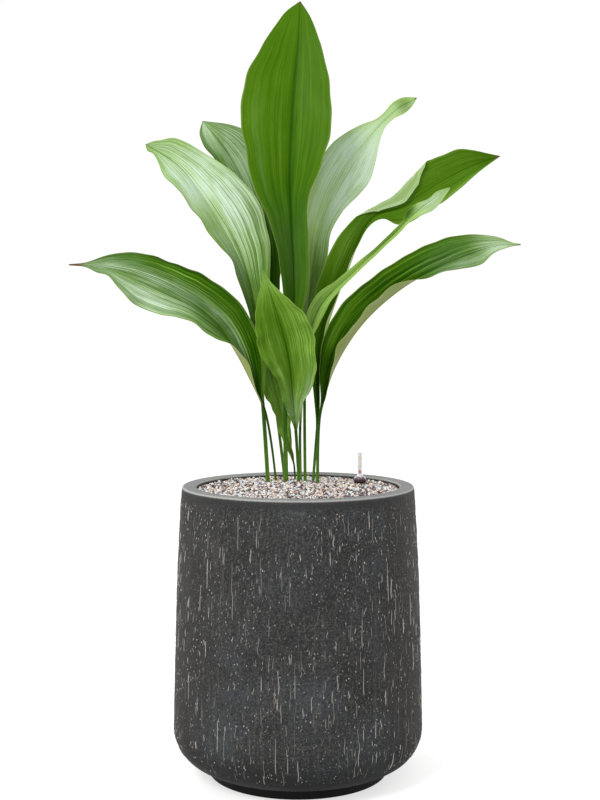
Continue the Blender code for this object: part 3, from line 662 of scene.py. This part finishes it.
def stalk_line(leaf, blade_foot, ahead):
    """From the rootstock nearly straight to the blade, and into line with it."""
    start = np.array([*leaf["root"], RHIZOME_TOP])
    reach = np.linalg.norm(blade_foot - start) * 0.16
    t = np.linspace(0.0, 1.0, STALK_ROWS + 1)[:-1, None]
    return ((1 - t) ** 3 * start + 3 * (1 - t) ** 2 * t * (start + (0, 0, reach))
            + 3 * (1 - t) * t ** 2 * (blade_foot - ahead * reach) + t ** 3 * blade_foot)


def half_width(leaf, side, along):
    """The blade's width from its midrib to one margin, in millimetres."""
    share, width = np.array(leaf[side], float).T
    return np.maximum(smooth_curve(share, width, along), 0.3)


def rolled_margin(roll, along, middle):
    """Turns a margin over, forward: by so many degrees, beyond a fold line across the half."""
    degrees, shares, folds = roll
    fold = np.interp(along, shares, folds)
    return math.radians(degrees) * smoothstep(middle, fold, fold + 0.12)


def leaf_surface(leaf, draw):
    """The leaf's middle surface from the rootstock to the tip, left margin to right."""
    along, blade, tilts = midrib(leaf)
    ahead0 = unit(blade[1] - blade[0])
    stalk = stalk_line(leaf, blade[0], ahead0)
    points = np.concatenate([stalk, blade])
    rows = len(points)
    t = np.concatenate([np.linspace(-1.0, 0.0, STALK_ROWS + 1)[:-1], along])
    on_blade = np.clip(t, 0.0, 1.0)
    tilts = np.concatenate([np.repeat(tilts[:1], STALK_ROWS, axis=0), tilts])
    tilts = tilts * smoothstep(t, -0.35, 0.0)[:, None]
    opening = smoothstep(t, -0.02, COLLAR)
    ahead = unit(np.gradient(points, axis=0))
    across = unit(np.cross((0.0, 1.0, 0.0), ahead))
    front = np.cross(across, ahead)
    radius = np.interp(t, (-1.0, 0.0), leaf["stalk"])
    u = np.linspace(0.0, 1.0, HALF_COLUMNS + 1)
    grid = np.zeros((rows, 2 * HALF_COLUMNS + 1, 3))
    grid[:, HALF_COLUMNS] = points
    for side, sign in ((0, -1), (1, 1)):
        width = half_width(leaf, ("left", "right")[side], on_blade)
        waves = sum(draw.uniform(0.004, 0.012) * np.sin(2 * math.pi * f * on_blade
                                                        + draw.uniform(0, 6.28))
                    for f in (3.1, 7.3, 12.7))
        width = np.where(t < 0, radius, width * (1 + waves))
        full = np.clip(width / max(w for _, w in leaf["left"] + leaf["right"]), 0.0, 1.0)
        curl = math.radians(leaf.get("curl", (0, 0))[side])
        out, lift = np.zeros(rows), np.zeros(rows)
        for j in range(1, HALF_COLUMNS + 1):
            middle = (u[j] + u[j - 1]) / 2
            angle = tilts[:, side] + curl * middle * np.minimum(full * 1.5, 1.0)
            if side == 0 and "roll" in leaf:
                angle = angle + rolled_margin(leaf["roll"], on_blade, middle)
            out += np.cos(angle) * width * (u[j] - u[j - 1])
            lift += np.sin(angle) * width * (u[j] - u[j - 1])
            grid[:, HALF_COLUMNS + sign * j] = (
                points + across * (sign * out)[:, None] + front * lift[:, None])
    return grid, t, opening, radius


def surface_normal(grid):
    return unit(np.cross(np.gradient(grid, axis=1), np.gradient(grid, axis=0)))


def zone_amount(zones, across, along):
    total = np.zeros(np.broadcast(across, along).shape)
    for u, t, reach_u, reach_t, amount in zones:
        far = ((across - u) / reach_u) ** 2 + ((along - t) / reach_t) ** 2
        total = np.maximum(total, amount * np.exp(-far * 1.2))
    return total


def zone_sum(zones, across, along):
    return sum((amount * np.exp(-(((across - u) / reach_u) ** 2
                                  + ((along - t) / reach_t) ** 2) * 1.2)
                for u, t, reach_u, reach_t, amount in zones), 0.0 * across * along)


def add_leaf(name, leaf, material, seed):
    """One leaf, its blade and stalk in one skin, which stands for both CAD nodes."""
    draw = np.random.default_rng(seed)
    grid, t, opening, radius = leaf_surface(leaf, draw)
    rows, columns = grid.shape[:2]
    u = np.linspace(-1.0, 1.0, columns)[None, :]
    along = np.clip(t, 0.0, 1.0)[:, None]
    widest = max(w for _, w in leaf["left"] + leaf["right"])
    full = np.minimum(half_width(leaf, "left", t), half_width(leaf, "right", t))[:, None]
    full = np.clip(1.3 * full / widest, 0.0, 1.0)
    open_blade = opening[:, None]
    side = np.where(u < 0, 0, 1)
    phase = draw.uniform(0, 6.28, (2, 3))
    ripple = np.zeros((rows, columns))
    for k, (turns, height) in enumerate(((3.0, 2.6), (6.5, 1.3), (11.0, 0.6))):
        ripple += height * np.sin(2 * math.pi * turns * along + phase[side, k])
    ripple *= np.abs(u) ** 2.2 * open_blade * full
    warped = u * (1 + 0.05 * np.sin(5 * along + phase[0, 0]))
    phase_across = RIBS * warped + 0.12 * np.sin(9 * warped + phase[1, 1])
    groove_wave = (0.5 + 0.5 * np.cos(2 * math.pi * phase_across)) ** 5
    strength = rib_strengths(draw, phase_across, along)
    ribs = (0.07 - 0.32 * groove_wave * strength) * open_blade * full
    keel = np.exp(-(u / 0.035) ** 2) * open_blade
    normal = surface_normal(grid)
    middle = grid + normal * ripple[:, :, None]
    normal = surface_normal(middle)
    thin = (MARGIN_THICK + (BLADE_THICK - MARGIN_THICK) * (1 - u ** 2)) / 2
    round_half = radius[:, None] * np.sqrt(np.clip(1 - u ** 2, 0.0, 1.0)) + 0.02
    half = thin * open_blade + round_half * (1 - open_blade)
    groove = 0.35 * radius[:, None] * np.exp(-(u / 0.3) ** 2) * (1 - open_blade)
    front_lift = half + ribs - 0.55 * keel - groove
    back_lift = half - ribs * 0.8 + 0.9 * keel
    front = middle + normal * front_lift[:, :, None]
    back = middle - normal * back_lift[:, :, None]
    points = np.concatenate([front.reshape(-1, 3), back.reshape(-1, 3)])
    piece = make_piece("leaf_" + name, points, skin_faces(rows, columns), material)
    both = [np.broadcast_to(u, (rows, columns)), np.broadcast_to(t[:, None], (rows, columns))]
    vein = np.stack([both[0], both[1], np.full((rows, columns), float(seed % 97))], axis=-1)
    set_vector(piece, "vein", np.concatenate([vein, vein + (0.3, 0.0, 5.0)]).reshape(-1, 3))
    paint_leaf(piece, leaf, u, t[:, None], open_blade, groove_wave * strength, keel)
    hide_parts("blade_" + name, "stalk_" + name)
    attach(piece, "root")


def rib_strengths(draw, across, along):
    """How deep each lengthwise groove is, which changes as it runs up the blade."""
    steps, lines = 12, 2 * RIBS + 6
    table = draw.uniform(0.15, 1.0, lines)[:, None] * draw.uniform(0.5, 1.0, (lines, steps))
    line = np.clip(np.round(across) + RIBS + 2, 0, lines - 1).astype(int)
    place = np.broadcast_to(along * (steps - 1.001), line.shape)
    low = place.astype(int)
    part = place - low
    return table[line, low] * (1 - part) + table[line, low + 1] * part


def skin_faces(rows, columns):
    """Front and back faces of a closed skin and the walls that join them."""
    back = rows * columns
    i, j = np.meshgrid(np.arange(rows - 1), np.arange(columns - 1), indexing="ij")
    a = (i * columns + j).ravel()
    b, c, d = a + 1, a + columns + 1, a + columns
    front_faces = np.stack([a, b, c, d], axis=1)
    back_faces = np.stack([a, d, c, b], axis=1) + back
    ring = np.concatenate([
        np.arange(columns), np.arange(1, rows) * columns + columns - 1,
        (rows - 1) * columns + np.arange(columns - 2, -1, -1),
        np.arange(rows - 2, 0, -1) * columns])
    after = np.roll(ring, -1)
    walls = np.stack([ring, ring + back, after + back, after], axis=1)
    return np.concatenate([front_faces, back_faces, walls])


def paint_leaf(piece, leaf, u, t, open_blade, rib, keel):
    """The leaf's colour amounts at every point of its front and back."""
    along = np.clip(t, 0.0, 1.0)
    shape = np.broadcast(u, along).shape
    rise = smoothstep(t, -0.7, 0.0)
    stalk_tone = STALK_TONES[0] * (1 - rise) + STALK_TONES[1] * rise - leaf.get("dim", 0.0)
    margin = smoothstep(np.abs(u), 0.965, 0.995) * open_blade * leaf["edge"]
    brown = smoothstep(along, 1.0 - leaf["brown"] * 1.6, 1.0 - leaf["brown"] * 0.6)
    amounts = {"tone": [], "pale_and_painted_sheen": [], "cream": [], "brown": [], "rib": [], "streak": []}
    for face, tone in (("front", leaf["tone"]), ("back", leaf["back_tone"])):
        on_front = face == "front"
        # 'tone' is in part painted light; the 'shade' zones are partly the leaf's own darker
        # green and partly painted shade, and painted light where negative.
        blade_tone = tone - 0.14 * keel * on_front - zone_sum(leaf["shade"], u, along)
        dry = 0.0 if on_front else leaf["back_cream"]
        amounts["tone"].append(blade_tone * open_blade + stalk_tone * (1 - open_blade))
        # The paler zones: painted sheen, and on the back also the paler underside.
        pale_and_painted_sheen = zone_amount(leaf[face], u, along)
        amounts["pale_and_painted_sheen"].append(pale_and_painted_sheen * open_blade + STALK_PALE * (1 - open_blade))
        amounts["cream"].append(np.maximum(margin, dry * open_blade))
        amounts["brown"].append(brown)
        amounts["rib"].append(rib * open_blade * (0.22 + 0.42 * pale_and_painted_sheen))
        amounts["streak"].append(leaf["streak"])
    for key, pair in amounts.items():
        values = np.concatenate([np.broadcast_to(p, shape).ravel() for p in pair])
        set_float(piece, key, values)


# ---------------------------------------------------------------- planter

POT_STEPS = 288
RIM_THICK = 14.0
RIM_ROUND = 3.0
FOOT_RADIUS = 122.0
FOOT_HEIGHT = 14.0
WIDEST_AT = 64.0
BODY_KNOTS = (150.0, 330.0)
UNDERSIDE = 48.0
FLOOR_THICK = 22.0
FLOOR_INSET = 4.0
WALL = 8.0


def body_radius(height):
    """The planter's outer radius, as in the CAD."""
    knots = [WIDEST_AT, *BODY_KNOTS, POT_HEIGHT]
    radii = [POT_WIDEST, POT_WIDEST - 2.0, POT_WIDEST - 8.5, RIM_OUTER + 0.5]
    return smooth_curve(knots, radii, np.atleast_1d(np.asarray(height, float)))


def arc(centre_r, centre_z, radius, start, end, steps):
    angles = np.radians(np.linspace(start, end, steps + 1))
    return [(centre_r + radius * math.cos(a), centre_z + radius * math.sin(a)) for a in angles]


def lathe(profile, steps, centre=(0.0, 0.0)):
    """Points and quads of a closed turned shape; the profile runs round its section."""
    profile = np.asarray(profile, float)
    turn = 2 * math.pi * np.arange(steps) / steps
    points = np.stack([profile[:, None, 0] * np.cos(turn) + centre[0],
                       profile[:, None, 0] * np.sin(turn) + centre[1],
                       np.repeat(profile[:, 1:], steps, axis=1)], axis=-1)
    rows = len(profile)
    i, j = np.meshgrid(np.arange(rows), np.arange(steps), indexing="ij")
    nxt, right = (i + 1) % rows, (j + 1) % steps
    faces = np.stack([i * steps + j, nxt * steps + j, nxt * steps + right, i * steps + right],
                     axis=-1).reshape(-1, 4)
    return points.reshape(-1, 3), faces


def add_planter(material):
    """The planter with a softly uneven cast skin, closed by a thin floor inside and out."""
    under_rim = POT_HEIGHT - RIM_THICK
    inner = [(2.0, FLOOR_THICK), (FOOT_RADIUS - FLOOR_INSET, FLOOR_THICK),
             (POT_WIDEST - WALL, WIDEST_AT)]
    inner += [(float(body_radius(z)[0]) - WALL, z) for z in (150.0, 240.0, 330.0)]
    inner += [(RIM_OUTER - 6.0, under_rim - 8.0), (RIM_INNER, under_rim)]
    inner += [(RIM_INNER, z) for z in np.linspace(under_rim + 2, POT_HEIGHT - 4, 4)]
    rim = arc(RIM_INNER + RIM_ROUND, POT_HEIGHT - RIM_ROUND, RIM_ROUND, 180, 90, 6)
    rim += [(r, POT_HEIGHT) for r in np.linspace(RIM_INNER + 5, RIM_OUTER - 5, 5)]
    rim += arc(RIM_OUTER - RIM_ROUND, POT_HEIGHT - RIM_ROUND, RIM_ROUND, 90, 0, 6)
    heights = np.linspace(POT_HEIGHT - 6.0, WIDEST_AT + 4.0, 110)
    side = list(zip(body_radius(heights), heights))
    drop = WIDEST_AT - FOOT_HEIGHT
    lower = [(POT_WIDEST - UNDERSIDE * (1 - c), WIDEST_AT + drop * s)
             for c, s in arc(0.0, 0.0, 1.0, 0, -90, 26)]
    foot = [(FOOT_RADIUS, FOOT_HEIGHT - 1.0),
            (FOOT_RADIUS, 0.6), (FOOT_RADIUS - 0.6, 0.0), (2.0, 0.0)]
    profile = inner + rim + side + lower + foot
    points, faces = lathe(profile, POT_STEPS)
    ring = np.repeat(np.arange(len(profile)), POT_STEPS)
    first, last = len(inner) + len(rim), len(inner) + len(rim) + len(side) + len(lower) - 2
    uneven = np.array([noise.noise(Vector(p) * 0.018) * 0.5
                       + noise.noise(Vector((p[0] * 0.09, p[1] * 0.09, p[2] * 0.03))) * 0.22
                       for p in points])
    on_side = (ring >= first) & (ring <= last)
    outward = unit(points * (1.0, 1.0, 0.0))
    points = points + outward * (uneven * on_side - 0.35 * on_side)[:, None]
    piece = make_piece("planter", points, faces[:, ::-1], material)
    radius = np.hypot(points[:, 0], points[:, 1])
    # Painted light on the rim's flat top and painted highlights along its two rounded edges.
    high = smoothstep(points[:, 2], POT_HEIGHT - 3.2, POT_HEIGHT - 1.2)
    set_float(piece, "rim", high)
    inset = np.minimum(np.abs(radius - RIM_OUTER), np.abs(radius - RIM_INNER))
    set_float(piece, "edge", high * (1 - smoothstep(inset, 0.9, 2.2)) * 0.8)
    # Painted shade under the rounded lower edge, strongest at the foot.
    set_float(piece, "low", 0.92 * (1 - smoothstep(points[:, 2], FOOT_HEIGHT, WIDEST_AT + 24.0)))
    # The planter's left and right sides, as seen from the front, where painted shade and a warm
    # painted light go.
    set_float(piece, "painted_side_shade", 0.8 * smoothstep(np.abs(points[:, 0]) / POT_WIDEST, 0.55, 0.88))
    set_float(piece, "band", smoothstep(points[:, 2], POT_HEIGHT - 14.0, POT_HEIGHT - 9.0)
              * (1 - high) * 0.7)
    # Painted shade in the recessed foot.
    set_float(piece, "foot", (radius < FOOT_RADIUS + 2.0) & (points[:, 2] < FOOT_HEIGHT + 1.0))
    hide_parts("pot")
    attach(piece, "root")


DRIPS = 7400
DOT_SHARE = 0.76               # of the drips that are only dots


def drip_shape(length, width, height, bend):
    """Rings of a slim raised drip: across, proud of the wall, and down."""
    rows = max(3, int(length / 4.0) + 2)
    s = np.linspace(0.0, 1.0, rows)
    swell = np.sqrt(np.clip(1 - (2 * s - 1) ** 6, 0.02, 1)) * (0.75 + 0.35 * s)
    drift = bend * np.sin(2.2 * s * math.pi)
    across = np.stack([drift - width * swell, drift, drift + width * swell, drift], axis=1)
    proud = np.stack([-0.2 + 0 * s, height * swell, -0.2 + 0 * s, -0.6 + 0 * s], axis=1)
    return across, proud, -length * s


def add_drips(material):
    """Raised drips and dots all round the planter's wall."""
    draw = np.random.default_rng(404)
    points, faces, tones, start = [], [], [], 0
    for _ in range(DRIPS):
        dot = draw.random() < DOT_SHARE
        length = draw.uniform(1.6, 3.2) if dot else 4.0 + draw.exponential(9.0)
        length = min(length, 90.0)
        width = draw.uniform(0.6, 1.35) if dot else draw.uniform(0.4, 0.95)
        top = draw.uniform(34.0, POT_HEIGHT - 15.0)
        length = min(length, max(top - 30.0, 1.5))
        around = draw.uniform(0, 2 * math.pi)
        tone = draw.random() ** 1.2
        across, proud, down = drip_shape(length, width, 0.35 + 0.55 * tone,
                                         draw.normal(0, 0.5) * (not dot))
        height = top + down
        wall = drip_wall(height)
        angle = around + across / wall[:, None]
        radius = wall[:, None] + proud
        ring = np.stack([radius * np.cos(angle), radius * np.sin(angle),
                         np.repeat(height[:, None], 4, axis=1)], axis=-1)
        rows = len(height)
        points.append(ring.reshape(-1, 3))
        for i in range(rows - 1):
            for j in range(4):
                a, b = i * 4 + j, i * 4 + (j + 1) % 4
                faces.append((start + a, start + a + 4, start + b + 4, start + b))
        faces.append((start, start + 1, start + 2, start + 3))
        end = start + (rows - 1) * 4
        faces.append((end + 3, end + 2, end + 1, end))
        tones.append(np.full(rows * 4, tone))
        start += rows * 4
    piece = make_piece("planter_drips", np.concatenate(points), faces, material)
    set_float(piece, "tone", np.concatenate(tones))
    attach(piece, "root")


def drip_wall(height):
    """The wall's radius at a height, down into the rounded lower edge."""
    below = np.clip((WIDEST_AT - height) / (WIDEST_AT - FOOT_HEIGHT), 0.0, 0.98)
    rounded = POT_WIDEST - UNDERSIDE * (1 - np.sqrt(1 - below ** 2))
    return np.where(height > WIDEST_AT, body_radius(height), rounded) - 0.35


# ---------------------------------------------------------------- granules

FILL_AT_WALL, FILL_AT_MIDDLE = 388.0, 396.0
GRAIN_SPACING = 3.6
LOOSE_GRAINS = 700             # drawn over a square, so some fall outside the planter
GAUGE_CLEARANCE = 8.6


def fill_height(radius):
    share = np.clip(radius / RIM_INNER, 0.0, 1.0)
    return FILL_AT_WALL + (FILL_AT_MIDDLE - FILL_AT_WALL) * (0.5 + 0.5 * np.cos(math.pi * share))


def rock_mesh():
    """A ball of 18 points and 32 triangles, which each granule distorts."""
    corners = [(1, 0, 0), (0, 1, 0), (-1, 0, 0), (0, -1, 0), (0, 0, 1), (0, 0, -1)]
    coarse = [(0, 1, 4), (1, 2, 4), (2, 3, 4), (3, 0, 4),
              (1, 0, 5), (2, 1, 5), (3, 2, 5), (0, 3, 5)]
    points = [np.array(c, float) for c in corners]
    middles, faces = {}, []

    def middle(a, b):
        key = (min(a, b), max(a, b))
        if key not in middles:
            middles[key] = len(points)
            points.append(unit(points[a] + points[b]))
        return middles[key]

    for a, b, c in coarse:
        ab, bc, ca = middle(a, b), middle(b, c), middle(c, a)
        faces += [(a, ab, ca), (ab, b, bc), (ca, bc, c), (ab, bc, ca)]
    return np.array(points), np.array(faces)


def add_granules(material):
    draw = np.random.default_rng(77)
    ball, triangles = rock_mesh()
    reach = RIM_INNER - 1.6
    places = []
    step = GRAIN_SPACING * math.sqrt(3) / 2
    count = int(reach / step) + 1
    for i in range(-count, count + 1):
        for j in range(-count - 2, count + 3):
            x = (j + 0.5 * (i % 2)) * GRAIN_SPACING
            places.append((x, i * step))
    places = np.array(places) + draw.normal(0, 0.5, (len(places), 2))
    places = places[np.hypot(places[:, 0], places[:, 1]) < reach]
    extra = draw.uniform(-reach, reach, (LOOSE_GRAINS, 2))
    extra = extra[np.hypot(extra[:, 0], extra[:, 1]) < reach - 3.0]
    level = np.concatenate([np.full(len(places), -0.5), np.full(len(extra), 1.6)])
    places = np.concatenate([places, extra])
    gauge = (CAP_LOW[:2] + CAP_HIGH[:2]) / 2
    clear = np.hypot(places[:, 0] - gauge[0], places[:, 1] - gauge[1]) > GAUGE_CLEARANCE
    places, level = places[clear], level[clear]
    many = len(places)
    size = draw.uniform(1.5, 2.5, (many, 1, 1)) * draw.uniform(0.75, 1.25, (many, 1, 3))
    shape = ball[None] * draw.uniform(0.8, 1.18, (many, len(ball), 1)) * size
    shape = np.einsum("nij,nkj->nki", turns(draw, many), shape)
    height = fill_height(np.hypot(places[:, 0], places[:, 1])) + level
    height += draw.normal(0, 0.45, many)
    centre = np.stack([places[:, 0], places[:, 1], height], axis=1)
    points = (shape + centre[:, None]).reshape(-1, 3)
    faces = (triangles[None] + (np.arange(many) * len(ball))[:, None, None]).reshape(-1, 3)
    piece = make_piece("granules", points, faces, material, smooth=False)
    set_float(piece, "tone", np.repeat(draw.random(many), len(ball)))
    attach(piece, "root")


def turns(draw, many):
    """Random rotations, as matrices."""
    q = unit(draw.normal(size=(many, 4)))
    w, x, y, z = q.T
    return np.stack([
        np.stack([1 - 2 * (y * y + z * z), 2 * (x * y - z * w), 2 * (x * z + y * w)], -1),
        np.stack([2 * (x * y + z * w), 1 - 2 * (x * x + z * z), 2 * (y * z - x * w)], -1),
        np.stack([2 * (x * z - y * w), 2 * (y * z + x * w), 1 - 2 * (x * x + y * y)], -1)],
        axis=1)


# ---------------------------------------------------------------- water gauge

GAUGE_STEPS = 48


def gauge_piece(name, profile, material, node, body="root"):
    low, high = node_box(node)
    centre = (low[:2] + high[:2]) / 2
    points, faces = lathe(profile, GAUGE_STEPS, centre)
    piece = make_piece(name, points, faces[:, ::-1], material)
    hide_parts(node)
    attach(piece, body)
    return piece


def add_gauge():
    foot, top = CAP_LOW[2], CAP_HIGH[2]
    wide = (CAP_HIGH[0] - CAP_LOW[0]) / 2
    bore, neck = 2.0, 4.0
    dome = [(neck + (wide - neck) * math.sin(math.radians(a)),
             top - 2.4 - 5.0 * (1 - math.cos(math.radians(a)))) for a in range(0, 91, 9)]
    cap = [(bore, foot), (bore, top), (neck - 0.5, top), (neck, top - 1.4)] + dome
    cap += [(wide, foot + 2.0), (wide - 0.3, foot + 1.4), (wide - 0.9, foot + 1.2),
            (wide - 0.9, foot)]
    gauge_piece("water_gauge_cap", cap, cap_material(), "gauge_cap")
    low, high = TUBE_LOW[2], TUBE_HIGH[2]
    outer = (TUBE_HIGH[0] - TUBE_LOW[0]) / 2
    inner = outer - 1.0
    tube = [(inner, low), (inner, high - 1.6), (0.15, high - 1.6), (0.15, high),
            (outer - 0.4, high), (outer, high - 0.4), (outer, low)]
    gauge_piece("water_gauge_tube", tube, clear_material(), "gauge_sight_tube")
    add_gauge_marks(outer, (low, high))
    radius = (TIP_HIGH[0] - TIP_LOW[0]) / 2
    low, high = TIP_LOW[2], TIP_HIGH[2]
    tip = [(0.1, low), (0.1, high)] + [(radius * math.sin(math.radians(a)),
                                        high - 0.8 + 0.8 * math.cos(math.radians(a)))
                                       for a in range(15, 91, 15)] + [(radius, low)]
    red = plastic_material("gauge_red", (0.50, 0.03, 0.02), (0.72, 0.08, 0.05), 0.4)
    gauge_piece("water_gauge_tip", tip, red, "gauge_indicator", "float")


def add_gauge_marks(radius, span):
    """Two short yellow marks on the front of the sight tube."""
    yellow = plastic_material("gauge_marks", (0.75, 0.48, 0.10), (0.85, 0.60, 0.18), 0.5)
    centre = (TUBE_LOW[:2] + TUBE_HIGH[:2]) / 2
    points, faces = [], []
    for share in (0.40, 0.76):
        middle = span[0] + share * (span[1] - span[0])
        for half_height, proud in ((0.7, 0.05), (0.45, 0.22)):
            for edge in (-1, 1):
                for angle in np.radians(np.linspace(-90 - 26, -90 + 26, 9)):
                    points.append((centre[0] + (radius + proud) * math.cos(angle),
                                   centre[1] + (radius + proud) * math.sin(angle),
                                   middle + edge * half_height))
    for mark in range(2):
        base = mark * 36
        low_in, high_in, low_out, high_out = (base + 9 * k for k in range(4))
        for i in range(8):
            faces.append((low_out + i, low_out + i + 1, high_out + i + 1, high_out + i))
            faces.append((low_in + i, low_in + i + 1, low_out + i + 1, low_out + i))
            faces.append((high_out + i, high_out + i + 1, high_in + i + 1, high_in + i))
            faces.append((high_in + i, high_in + i + 1, low_in + i + 1, low_in + i))
        faces.append((low_in, low_out, high_out, high_in))
        faces.append((low_in + 8, high_in + 8, high_out + 8, low_out + 8))
    piece = make_piece("water_gauge_marks", points, faces, yellow)
    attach(piece, "root")


# ---------------------------------------------------------------- everything

def dress_frame():
    """Materials for the CAD nodes that stay."""
    dark = plastic_material("gauge_housing_plastic", (0.03, 0.02, 0.024), (0.05, 0.04, 0.045),
                            0.45)
    foam = plastic_material("gauge_float_foam", (0.78, 0.77, 0.73), (0.88, 0.87, 0.84), 0.6)
    kept = {"granulate": bed_material(), "rhizome": rootstock_material(),
            "gauge_housing": dark, "gauge_float": foam}
    for node, material in kept.items():
        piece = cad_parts[node]
        for slot in piece.material_slots:
            slot.material = material


def main():
    add_camera()
    add_studio()
    add_floor()
    dress_frame()
    leaf, young = leaf_material("leaf_waxy"), leaf_material("leaf_young")
    for k, (name, shape) in enumerate(LEAVES.items()):
        add_leaf(name, shape, young if name in YOUNG else leaf, 11 + 17 * k)
    add_planter(planter_material())
    add_drips(drip_material())
    add_granules(granule_material("granules"))
    add_gauge()


main()
